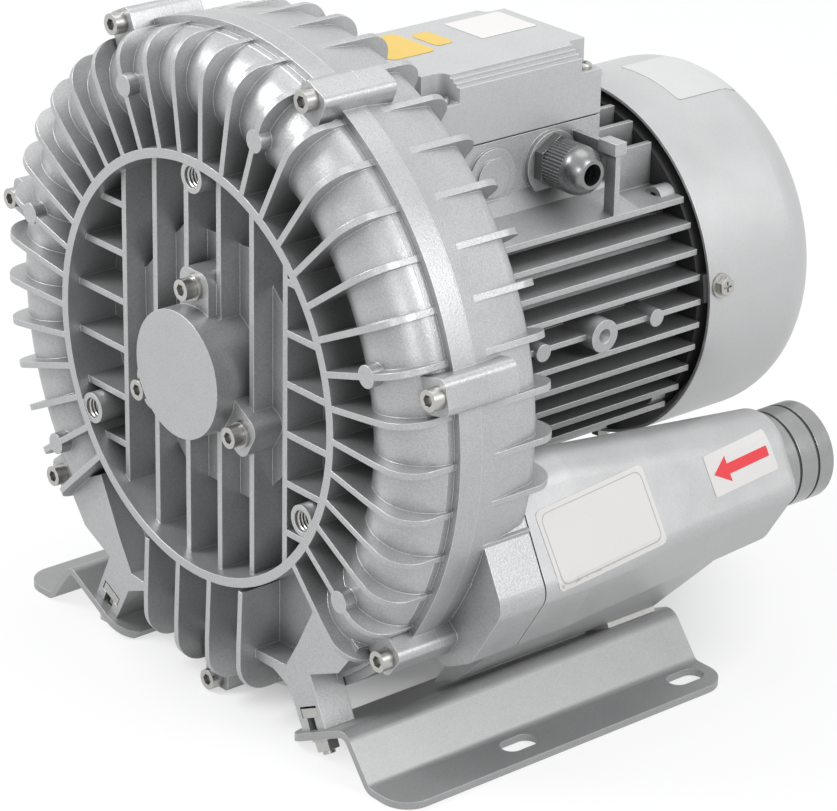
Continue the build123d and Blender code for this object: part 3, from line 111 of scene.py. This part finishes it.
class Shader:
    """A small helper that makes nodes and links them in one material."""

    def __init__(self, name):
        self.material = bpy.data.materials.new(name)
        self.material.use_nodes = True
        self.tree = self.material.node_tree
        self.tree.nodes.clear()
        self.output = self.tree.nodes.new("ShaderNodeOutputMaterial")
        self.surface = self.tree.nodes.new("ShaderNodeBsdfPrincipled")
        self.tree.links.new(self.surface.outputs[0], self.output.inputs[0])
        coordinate = self.tree.nodes.new("ShaderNodeTexCoord")
        self.place = coordinate.outputs["Object"]

    def node(self, kind, **settings):
        """A new node with some of its settings."""
        made = self.tree.nodes.new(kind)
        for key, value in settings.items():
            setattr(made, key, value)
        return made

    def link(self, source, target):
        """Links an output to an input."""
        self.tree.links.new(source, target)

    def feed(self, value, socket):
        """Gives an input a number, a colour or another node's output."""
        if isinstance(value, (int, float)):
            socket.default_value = value
        elif isinstance(value, tuple):
            socket.default_value = (*value, 1.0)
        else:
            self.link(value, socket)

    def math(self, operation, *values):
        """The result of a math node over one or two values."""
        made = self.node("ShaderNodeMath", operation=operation)
        for socket, value in zip(made.inputs, values):
            self.feed(value, socket)
        return made.outputs[0]

    def stretched(self, scale):
        """Object coordinates, scaled along each axis."""
        mapping = self.node("ShaderNodeMapping")
        mapping.inputs["Scale"].default_value = scale
        self.link(self.place, mapping.inputs["Vector"])
        return mapping.outputs[0]

    def noise(self, scale, detail=2.0, roughness=0.5, vector=None):
        """A noise texture, on object coordinates if no others are given."""
        made = self.node("ShaderNodeTexNoise")
        made.inputs["Scale"].default_value = scale
        made.inputs["Detail"].default_value = detail
        made.inputs["Roughness"].default_value = roughness
        self.link(vector or self.place, made.inputs["Vector"])
        return made.outputs["Fac"]

    def ramp(self, fac, stops):
        """Colours at given positions, blended in between."""
        made = self.node("ShaderNodeValToRGB")
        ramp = made.color_ramp
        while len(ramp.elements) < len(stops):
            ramp.elements.new(0.5)
        for element, (position, color) in zip(ramp.elements, stops):
            element.position = position
            element.color = (*color, 1.0)
        self.link(fac, made.inputs[0])
        return made.outputs[0]

    def span(self, fac, low, high, out_low, out_high):
        """A value mapped from one range to another and kept inside it."""
        made = self.node("ShaderNodeMapRange")
        for index, value in enumerate((low, high, out_low, out_high)):
            made.inputs[index + 1].default_value = value
        self.link(fac, made.inputs[0])
        return made.outputs[0]

    def mix(self, fac, first, second, blend="MIX"):
        """Two colours mixed. A colour mix node has its colours in the inputs 6 and 7 and its result in the output 2."""
        made = self.node("ShaderNodeMix", data_type="RGBA", blend_type=blend)
        for index, value in ((0, fac), (6, first), (7, second)):
            self.feed(value, made.inputs[index])
        return made.outputs[2]

    def bump(self, height, strength, distance, normal=None):
        """A normal bent by a height, on top of another normal if one is given."""
        made = self.node("ShaderNodeBump")
        made.inputs["Strength"].default_value = strength
        made.inputs["Distance"].default_value = distance
        self.link(height, made.inputs["Height"])
        if normal is not None:
            self.link(normal, made.inputs["Normal"])
        return made.outputs[0]

    def round_edges(self, radius):
        """A normal that rounds the edges."""
        made = self.node("ShaderNodeBevel", samples=6)
        made.inputs["Radius"].default_value = radius
        return made.outputs[0]

    def edge_mask(self, bevelled):
        """One on an edge and nothing on a flat, from how far the rounding turns the surface."""
        geometry = self.node("ShaderNodeNewGeometry")
        turn = self.node("ShaderNodeVectorMath", operation="DOT_PRODUCT")
        self.link(bevelled, turn.inputs[0])
        self.link(geometry.outputs["Normal"], turn.inputs[1])
        return self.span(turn.outputs["Value"], 0.995, 0.80, 0.0, 1.0)

    def recess(self, distance):
        """How open the surroundings are: low in recesses."""
        made = self.node("ShaderNodeAmbientOcclusion", samples=8)
        made.inputs["Distance"].default_value = distance
        return made.outputs["AO"]


def grey(value, tint=0.0):
    """A grey, a little bluer for a positive tint."""
    return (value * (1 - tint), value, value * (1 + tint))


def metal(name, color, metallic, roughness, grain=0.0, grain_scale=900.0, mottle=0.06, edge=0.0005,
          recess_shade_depth=0.0, recess_distance=0.012, brushed=None, edge_highlight_and_wear=0.0, speckle=0.0):
    """Metal: mottled colour, fine grain, rounded edges with painted highlight and wear, painted shade in recesses."""
    s = Shader(name)
    broad = s.noise(BROAD_SCALE, 4.0, 0.6)
    fine = s.noise(FINE_SCALE, 3.0, 0.6)
    dark = tuple(c * (1 - mottle) for c in color)
    light = tuple(min(1.0, c * (1 + mottle)) for c in color)
    tone = s.ramp(broad, [(0.3, dark), (0.7, light)])
    tone = s.mix(0.35, tone, s.ramp(fine, [(0.25, dark), (0.75, light)]))
    if speckle > 0:
        spots = s.span(s.noise(SPECKLE_SCALE, 2.0, 0.7), 0.34, 0.66, 1.0 - speckle, 1.0 + speckle)
        tone = s.mix(1.0, tone, spots, "MULTIPLY")
    # Painted shade: the colour is darkened wherever the ambient occlusion finds a recess.
    if recess_shade_depth > 0:
        shade = s.span(s.recess(recess_distance), 0.0, 0.75, 1.0 - recess_shade_depth, 1.0)
        tone = s.mix(1.0, tone, shade, "MULTIPLY")
    normal = s.round_edges(edge)
    # Painted highlight, with some edge wear: the colour is lightened along the edges.
    if edge_highlight_and_wear > 0:
        share = s.math("MULTIPLY", s.edge_mask(normal), edge_highlight_and_wear)
        tone = s.mix(share, tone, tuple(min(1.0, c * 1.7) for c in color))
    s.link(tone, s.surface.inputs["Base Color"])
    s.surface.inputs["Metallic"].default_value = metallic
    s.link(s.span(broad, 0.3, 0.7, roughness - 0.05, roughness + 0.06), s.surface.inputs["Roughness"])
    if brushed is not None:
        streaks = s.noise(1.0, 3.0, 0.7, s.stretched(brushed))
        normal = s.bump(streaks, 0.25, 0.00012, normal)
    if grain > 0:
        normal = s.bump(s.noise(grain_scale, 3.0, 0.65), grain, 0.0002, normal)
    s.link(normal, s.surface.inputs["Normal"])
    return s.material


def knurled(name, color, roughness, middle, half_length, ribs_around):
    """Plated metal with straight ribs round an axis along X, for half a length each side of its middle."""
    s = Shader(name)
    shift = s.node("ShaderNodeVectorMath", operation="SUBTRACT")
    shift.inputs[1].default_value = middle
    s.link(s.place, shift.inputs[0])
    split = s.node("ShaderNodeSeparateXYZ")
    s.link(shift.outputs[0], split.inputs[0])
    turn = s.math("ARCTAN2", split.outputs[1], split.outputs[2])
    wave = s.math("SINE", s.math("MULTIPLY", turn, ribs_around))
    away = s.math("ABSOLUTE", split.outputs[0])
    inside = s.span(away, half_length, half_length + 0.0004, 1.0, 0.0)
    ribs = s.math("MULTIPLY", wave, inside)
    mottle = s.noise(PLATING_SCALE, 3.0, 0.6)
    # Painted shade: the grooves between the ribs are coloured darker.
    dark = tuple(c * 0.35 for c in color)
    painted_valley_shade = s.span(ribs, -1.0, 0.2, 0.0, 1.0)
    tone = s.mix(painted_valley_shade, dark, s.ramp(mottle, [(0.3, tuple(c * 0.85 for c in color)), (0.7, color)]))
    s.link(tone, s.surface.inputs["Base Color"])
    s.surface.inputs["Metallic"].default_value = 0.95
    s.link(s.span(mottle, 0.3, 0.7, roughness - 0.04, roughness + 0.05), s.surface.inputs["Roughness"])
    s.link(s.bump(ribs, 0.8, 0.0003, s.round_edges(0.0003)), s.surface.inputs["Normal"])
    return s.material


def soft(name, color, roughness, scale, strength, spread=0.12):
    """Rubber, plastic or foam with a mottled colour and a fine bump."""
    s = Shader(name)
    fac = s.noise(scale, 4.0, 0.6)
    dark = tuple(c * (1 - spread) for c in color)
    light = tuple(min(1.0, c * (1 + spread)) for c in color)
    s.link(s.ramp(fac, [(0.3, dark), (0.7, light)]), s.surface.inputs["Base Color"])
    s.link(s.span(fac, 0.3, 0.7, roughness - 0.06, roughness + 0.06), s.surface.inputs["Roughness"])
    s.link(s.bump(fac, strength, 0.0003, s.round_edges(0.0003)), s.surface.inputs["Normal"])
    return s.material


def paper(name, color):
    """A sticker: smooth film with faint waves and a little wear."""
    s = Shader(name)
    waves = s.noise(WAVE_SCALE)
    wear = s.noise(WEAR_SCALE, 4.0, 0.7)
    worn = tuple(c * 0.9 for c in color)
    tone = s.ramp(wear, [(0.28, worn), (0.4, color)])
    s.link(tone, s.surface.inputs["Base Color"])
    s.link(s.span(waves, 0.3, 0.7, 0.32, 0.42), s.surface.inputs["Roughness"])
    s.link(s.bump(waves, 0.15, 0.0004), s.surface.inputs["Normal"])
    return s.material


# In these finishes the recess setting paints shade into recesses, and the edge setting paints a highlight with some
# wear along edges.
CAST = metal("cast_finish", grey(0.45, 0.008), 0.66, 0.38, grain=0.6, recess_shade_depth=0.62, recess_distance=0.018,
             edge_highlight_and_wear=0.8, speckle=0.13)
FRAME_CAST = metal("frame_cast_finish", grey(0.44, 0.008), 0.62, 0.44, grain=0.6, recess_shade_depth=0.74,
                   recess_distance=0.02, edge_highlight_and_wear=0.8, speckle=0.13)
# Painted shade: a near-black finish for the rear end shield, standing for the dark shaded gap around it.
GAP_SHADOW_CAST = metal("painted_gap_shadow_finish", grey(0.045), 0.4, 0.6, grain=0.4, recess_shade_depth=0.6)
TURNED = metal("turned_finish", grey(0.34, 0.004), 0.92, 0.27, grain=0.05, brushed=(60.0, 2600.0, 60.0))
COWL = metal("cowl_finish", grey(0.51, 0.004), 0.55, 0.38, grain=0.12, grain_scale=1500.0, mottle=0.03, edge_highlight_and_wear=0.6,
             speckle=0.04)
SILENCER = metal("silencer_finish", grey(0.46, 0.005), 0.55, 0.38, grain=0.3, grain_scale=1300.0, recess_shade_depth=0.35,
                 edge_highlight_and_wear=0.6, speckle=0.06)
GLAND_BODY = metal("gland_body_finish", grey(0.16), 0.8, 0.36, grain=0.1, recess_shade_depth=0.3, edge_highlight_and_wear=0.8)
LID = metal("lid_finish", grey(0.48, 0.006), 0.35, 0.46, grain=0.25, grain_scale=1300.0, mottle=0.03,
            recess_shade_depth=0.3, edge_highlight_and_wear=0.8, speckle=0.08)
FOOT = metal("foot_finish", grey(0.34, 0.004), 0.5, 0.42, grain=0.2, grain_scale=1300.0, mottle=0.05,
             edge_highlight_and_wear=0.7, speckle=0.08)
ZINC = metal("zinc_finish", (0.46, 0.455, 0.435), 0.95, 0.30, grain=0.06, mottle=0.12, edge=0.0003, recess_shade_depth=0.6,
             recess_distance=0.004)
BRIGHT = metal("bright_finish", grey(0.55), 0.98, 0.22, grain=0.03, brushed=(80.0, 2400.0, 80.0))
LAMINATED = metal("laminated_finish", grey(0.22), 0.8, 0.45, grain=0.05, brushed=(20.0, 2600.0, 20.0))
COPPER = metal("winding_finish", (0.42, 0.17, 0.07), 0.7, 0.38, grain=0.3, brushed=(1400.0, 120.0, 1400.0))
BRASS = metal("brass_finish", (0.62, 0.45, 0.18), 0.95, 0.28, grain=0.05)
NICKEL = metal("nickel_finish", grey(0.30, 0.01), 0.95, 0.24, grain=0.04, mottle=0.14, edge=0.0003, recess_shade_depth=0.7,
               recess_distance=0.004)
KNURLED = knurled("knurled_finish", grey(0.30, 0.01), 0.28, at(54.0, 177.0, 75.0), 0.0062, 44.0)
RUBBER = soft("rubber_finish", grey(0.022), 0.62, 700.0, 0.2)
PAD = soft("pad_finish", (0.52, 0.52, 0.50), 0.72, 500.0, 0.25)
FOAM = soft("foam_finish", grey(0.06), 0.95, 1100.0, 0.9, 0.5)
PLASTIC = soft("plastic_finish", grey(0.045), 0.5, 600.0, 0.2)
GASKET = soft("lid_gasket_finish", grey(0.20), 0.6, 900.0, 0.2)
WHITE_FILM = paper("white_film", (0.63, 0.61, 0.60))
LINE_FILM = paper("line_film", (0.38, 0.38, 0.37))
RED_FILM = paper("red_film", (0.68, 0.035, 0.045))
YELLOW_FILM = paper("yellow_film", (0.62, 0.42, 0.07))
PLATE_FILM = metal("plate_film", grey(0.56), 0.25, 0.38, grain=0.08, mottle=0.03)

FINISHES = {
    "cast_aluminium": CAST,
    "machined_aluminium": TURNED,
    "pressed_cowl": COWL,
    "lid_paint": LID,
    "foot_sheet": FOOT,
    "zinc_steel": ZINC,
    "bright_steel": BRIGHT,
    "lamination_steel": LAMINATED,
    "copper_wire": COPPER,
    "dark_rubber": RUBBER,
    "pad_rubber": PAD,
    "foam": FOAM,
    "fan_plastic": PLASTIC,
    "terminal_brass": BRASS,
    "gland_metal": NICKEL,
}

# Nodes whose finish differs from that of their slot
OWN_FINISH = {
    "motor_frame": FRAME_CAST,
    # Painted shade: the end shield is coloured near black.
    "rear_end_shield": GAP_SHADOW_CAST,
    "gland_cap_nut": KNURLED,
    "gland_body": GLAND_BODY,
    "inlet_silencer": SILENCER,
    "outlet_silencer": SILENCER,
    "lid_gasket": GASKET,
}

for row in frame["record"]["subparts"]:
    finish = OWN_FINISH.get(row["node"], FINISHES[row["material_slot"]])
    for place in NODES[row["node"]].material_slots:
        place.material = finish


# Pieces laid on the castings

def add_object(name, mesh, material, body="housing"):
    """Links a mesh, gives it its finish and lets it ride on a body."""
    piece = bpy.data.objects.new(name, mesh)
    bpy.context.scene.collection.objects.link(piece)
    mesh.materials.append(material)
    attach(piece, body)
    return piece


def rounded(width, height, radius, steps=5):
    """The outline of a rounded rectangle, around the middle."""
    points = []
    for cx, cy, start in (
        (width / 2 - radius, height / 2 - radius, 0.0),
        (-width / 2 + radius, height / 2 - radius, 90.0),
        (-width / 2 + radius, -height / 2 + radius, 180.0),
        (width / 2 - radius, -height / 2 + radius, 270.0),
    ):
        for i in range(steps + 1):
            a = math.radians(start + 90.0 * i / steps)
            points.append((cx + radius * math.cos(a), cy + radius * math.sin(a)))
    return points


def film(name, node, middle, normal, right, outline, material, lift=STICKER_LIFT, thickness=STICKER_THICKNESS,
         hole=None):
    """A thin sheet of the given outline, laid on a node's surface along the normal."""
    surface = NODES[node].data
    tree = BVHTree.FromPolygons([v.co for v in surface.vertices], [p.vertices for p in surface.polygons])
    normal = Vector(normal).normalized()
    right = Vector(right)
    right = (right - normal * right.dot(normal)).normalized()
    up = normal.cross(right)
    mesh = bmesh.new()
    rings = [outline] if hole is None else [outline, hole]
    edges = []
    for ring in rings:
        corners = [mesh.verts.new((x, y, 0)) for x, y in ring]
        edges += [mesh.edges.new((corners[i], corners[(i + 1) % len(corners)])) for i in range(len(corners))]
    bmesh.ops.triangle_fill(mesh, use_beauty=True, use_dissolve=False, edges=edges)
    for axis in (0, 1):
        low = min(p[axis] for p in outline)
        high = max(p[axis] for p in outline)
        count = max(1, int((high - low) / FILM_CELL))
        for i in range(1, count):
            place = [0.0, 0.0, 0.0]
            place[axis] = low + (high - low) * i / count
            along = (1, 0, 0) if axis == 0 else (0, 1, 0)
            whole = mesh.verts[:] + mesh.edges[:] + mesh.faces[:]
            bmesh.ops.bisect_plane(mesh, geom=whole, dist=1e-7, plane_co=place, plane_no=along)
    for vertex in mesh.verts:
        start = Vector(middle) + right * vertex.co.x + up * vertex.co.y + normal * CAST_DISTANCE
        hit = tree.ray_cast(start, -normal, 4 * CAST_DISTANCE)
        landed = hit[0] if hit[0] is not None else start - normal * CAST_DISTANCE
        vertex.co = landed + normal * lift
    for face in mesh.faces:
        if face.normal.dot(normal) < 0:
            face.normal_flip()
    data = bpy.data.meshes.new(name)
    mesh.to_mesh(data)
    mesh.free()
    piece = add_object(name, data, material)
    shell = piece.modifiers.new("thickness", "SOLIDIFY")
    shell.thickness = thickness
    shell.offset = 1.0


def helix(name, middle, axis, material):
    """A hole's screw thread: a ridge that winds round an axis and points inwards."""
    axis = Vector(axis).normalized()
    side = axis.orthogonal().normalized()
    other = axis.cross(side)
    radius = THREAD_RADIUS * MM
    tip = radius - THREAD_DEPTH * MM
    pitch = THREAD_PITCH * MM
    mesh = bmesh.new()
    rows = []
    for i in range(THREAD_TURNS * THREAD_STEPS + 1):
        angle = 2 * math.pi * i / THREAD_STEPS
        rise = pitch * i / THREAD_STEPS
        out = side * math.cos(angle) + other * math.sin(angle)
        row = []
        for r, offset in ((radius, -0.42), (tip, -0.08), (tip, 0.08), (radius, 0.42)):
            row.append(mesh.verts.new(Vector(middle) + out * r + axis * (rise + offset * pitch)))
        rows.append(row)
    for first, second in zip(rows, rows[1:]):
        for j in range(4):
            k = (j + 1) % 4
            mesh.faces.new((first[j], first[k], second[k], second[j]))
    mesh.faces.new(rows[0])
    mesh.faces.new(rows[-1])
    bmesh.ops.recalc_face_normals(mesh, faces=mesh.faces)
    data = bpy.data.meshes.new(name)
    mesh.to_mesh(data)
    mesh.free()
    add_object(name, data, material)


for index, angle in enumerate(BOSS_ANGLES):
    x = BOSS_CIRCLE * math.cos(math.radians(angle))
    z = BOSS_CIRCLE * math.sin(math.radians(angle))
    helix(f"boss_thread_{index}", at(x, THREAD_START, z), (0, 1, 0), ZINC)

# The silencer's upper side: the direction that it faces, and the one along it to the rear
SIDE = (0.891, 0.0, 0.454)
ALONG = (-0.034, 1.0, 0.067)
LABEL_PLACE = at(153, 113.5, -54.4)
ARROW_PLACE = at(149, 204, -49)
ARROW = [(-0.018, 0.0), (-0.0085, 0.0062), (-0.0085, 0.0025), (0.018, 0.0025), (0.018, -0.0025), (-0.0085, -0.0025),
         (-0.0085, -0.0062)]
film("inlet_sticker", "inlet_silencer", LABEL_PLACE, SIDE, ALONG, rounded(0.067, 0.038, 0.003), WHITE_FILM)
film("inlet_sticker_line", "inlet_silencer", LABEL_PLACE, SIDE, ALONG, rounded(0.0626, 0.0336, 0.004), LINE_FILM,
     PRINT_LIFT, LINE_THICKNESS, rounded(0.0618, 0.0328, 0.0037))
film("arrow_sticker", "inlet_silencer", ARROW_PLACE, SIDE, ALONG, rounded(0.042, 0.020, 0.001), WHITE_FILM)
film("arrow_mark", "inlet_silencer", ARROW_PLACE, SIDE, ALONG, ARROW, RED_FILM, PRINT_LIFT, ARROW_THICKNESS)
for name, x, y, outline, finish in (
    ("lid_sticker_yellow", -13, 126, rounded(0.032, 0.027, 0.004), YELLOW_FILM),
    ("lid_sticker_small", -12, 149, rounded(0.020, 0.011, 0.003), YELLOW_FILM),
    ("lid_sticker_pale", -12, 185, rounded(0.028, 0.034, 0.001), WHITE_FILM),
):
    film(name, "terminal_lid", at(x, y, 120), (0, 0, 1), (1, 0, 0), outline, finish)
film("cowl_plate", "fan_cowl", at(12.6, 287, 88.6), (0.14, 0.0, 0.99), (0, 1, 0), rounded(0.040, 0.042, 0.002),
     PLATE_FILM, STICKER_LIFT, PLATE_THICKNESS)


# Floor, light and camera

def make_floor():
    """A pale floor that keeps the object's shadow and looks white to the camera."""
    mesh = bpy.data.meshes.new("floor")
    corners = [(x * FLOOR_HALF, y * FLOOR_HALF, FLOOR_HEIGHT) for x, y in ((-1, -1), (1, -1), (1, 1), (-1, 1))]
    mesh.from_pydata(corners, [], [(0, 1, 2, 3)])
    floor = bpy.data.objects.new("floor", mesh)
    bpy.context.scene.collection.objects.link(floor)
    s = Shader("floor_paint")
    s.surface.inputs["Roughness"].default_value = 0.9
    glow = s.node("ShaderNodeEmission")
    glow.inputs["Color"].default_value = (1, 1, 1, 1)
    seen = background_rays(s.tree)
    s.link(s.mix(seen, (0.38, 0.38, 0.38), (0.84, 0.84, 0.84)), s.surface.inputs["Base Color"])
    away = s.node("ShaderNodeVectorMath", operation="LENGTH")
    s.link(s.stretched((1.0, 0.85, 1.0)), away.inputs[0])
    share = s.math("MULTIPLY", seen, s.span(away.outputs["Value"], 0.07, 0.15, 0.10, 0.80))
    blend = s.node("ShaderNodeMixShader")
    s.link(share, blend.inputs[0])
    s.link(s.surface.outputs[0], blend.inputs[1])
    s.link(glow.outputs[0], blend.inputs[2])
    s.link(blend.outputs[0], s.output.inputs[0])
    mesh.materials.append(s.material)


def make_world():
    """White to the camera and to reflections, and a soft grey light from all round for the rest."""
    world = bpy.data.worlds.new("studio")
    bpy.context.scene.world = world
    world.use_nodes = True
    tree = world.node_tree
    tree.nodes.clear()
    output = tree.nodes.new("ShaderNodeOutputWorld")
    soft_light = tree.nodes.new("ShaderNodeBackground")
    soft_light.inputs[0].default_value = (0.96, 0.98, 1.0, 1.0)
    soft_light.inputs[1].default_value = 0.66
    white = tree.nodes.new("ShaderNodeBackground")
    white.inputs[0].default_value = (1, 1, 1, 1)
    white.inputs[1].default_value = 1.0
    blend = tree.nodes.new("ShaderNodeMixShader")
    tree.links.new(background_rays(tree), blend.inputs[0])
    tree.links.new(soft_light.outputs[0], blend.inputs[1])
    tree.links.new(white.outputs[0], blend.inputs[2])
    tree.links.new(blend.outputs[0], output.inputs[0])


def area_light(name, place, size, power):
    """A soft lamp at a place, turned towards the object."""
    lamp = bpy.data.lights.new(name, "AREA")
    lamp.shape = "DISK"
    lamp.size = size
    lamp.energy = power
    holder = bpy.data.objects.new(name, lamp)
    holder.location = place
    holder.rotation_euler = (Vector(LAMP_TARGET) - Vector(place)).to_track_quat("-Z", "Y").to_euler()
    bpy.context.scene.collection.objects.link(holder)


def make_camera():
    """The photograph's camera, from its measured place, turn and field of view."""
    azimuth, elevation, roll = (math.radians(v) for v in (CAMERA_AZIMUTH, CAMERA_ELEVATION, CAMERA_ROLL))
    back = Vector((math.sin(azimuth) * math.cos(elevation), -math.cos(azimuth) * math.cos(elevation),
                   math.sin(elevation)))
    forward = -back
    right = forward.cross(Vector((0, 0, 1))).normalized()
    down = forward.cross(right)
    turned_right = right * math.cos(roll) + down * math.sin(roll)
    turned_down = down * math.cos(roll) - right * math.sin(roll)
    lens = bpy.data.cameras.new("photo_camera")
    lens.sensor_width = SENSOR_WIDTH
    lens.lens = FOCAL_LENGTH * SENSOR_WIDTH / PHOTO_WIDTH
    lens.shift_x = (PHOTO_MIDDLE[0] - PRINCIPAL_POINT[0]) / PHOTO_WIDTH
    lens.shift_y = -(PHOTO_MIDDLE[1] - PRINCIPAL_POINT[1]) / PHOTO_WIDTH
    lens.clip_end = 20.0
    camera = bpy.data.objects.new("photo_camera", lens)
    turn = Matrix((turned_right, -turned_down, -forward)).transposed()
    camera.matrix_world = Matrix.Translation(at(1193.5, -880.4, 620.2)) @ turn.to_4x4()
    bpy.context.scene.collection.objects.link(camera)
    bpy.context.scene.camera = camera


make_floor()
make_world()
area_light("key", (-0.9, -1.3, 1.6), 1.1, 31.0)
area_light("right_soft", (1.8, 0.5, 1.3), 1.0, 21.0)
area_light("top_soft", (0.0, 0.4, 2.0), 1.4, 7.5)
area_light("front_right", (1.5, -1.3, 0.9), 0.6, 5.0)
make_camera()
bpy.context.scene.view_settings.view_transform = "Standard"
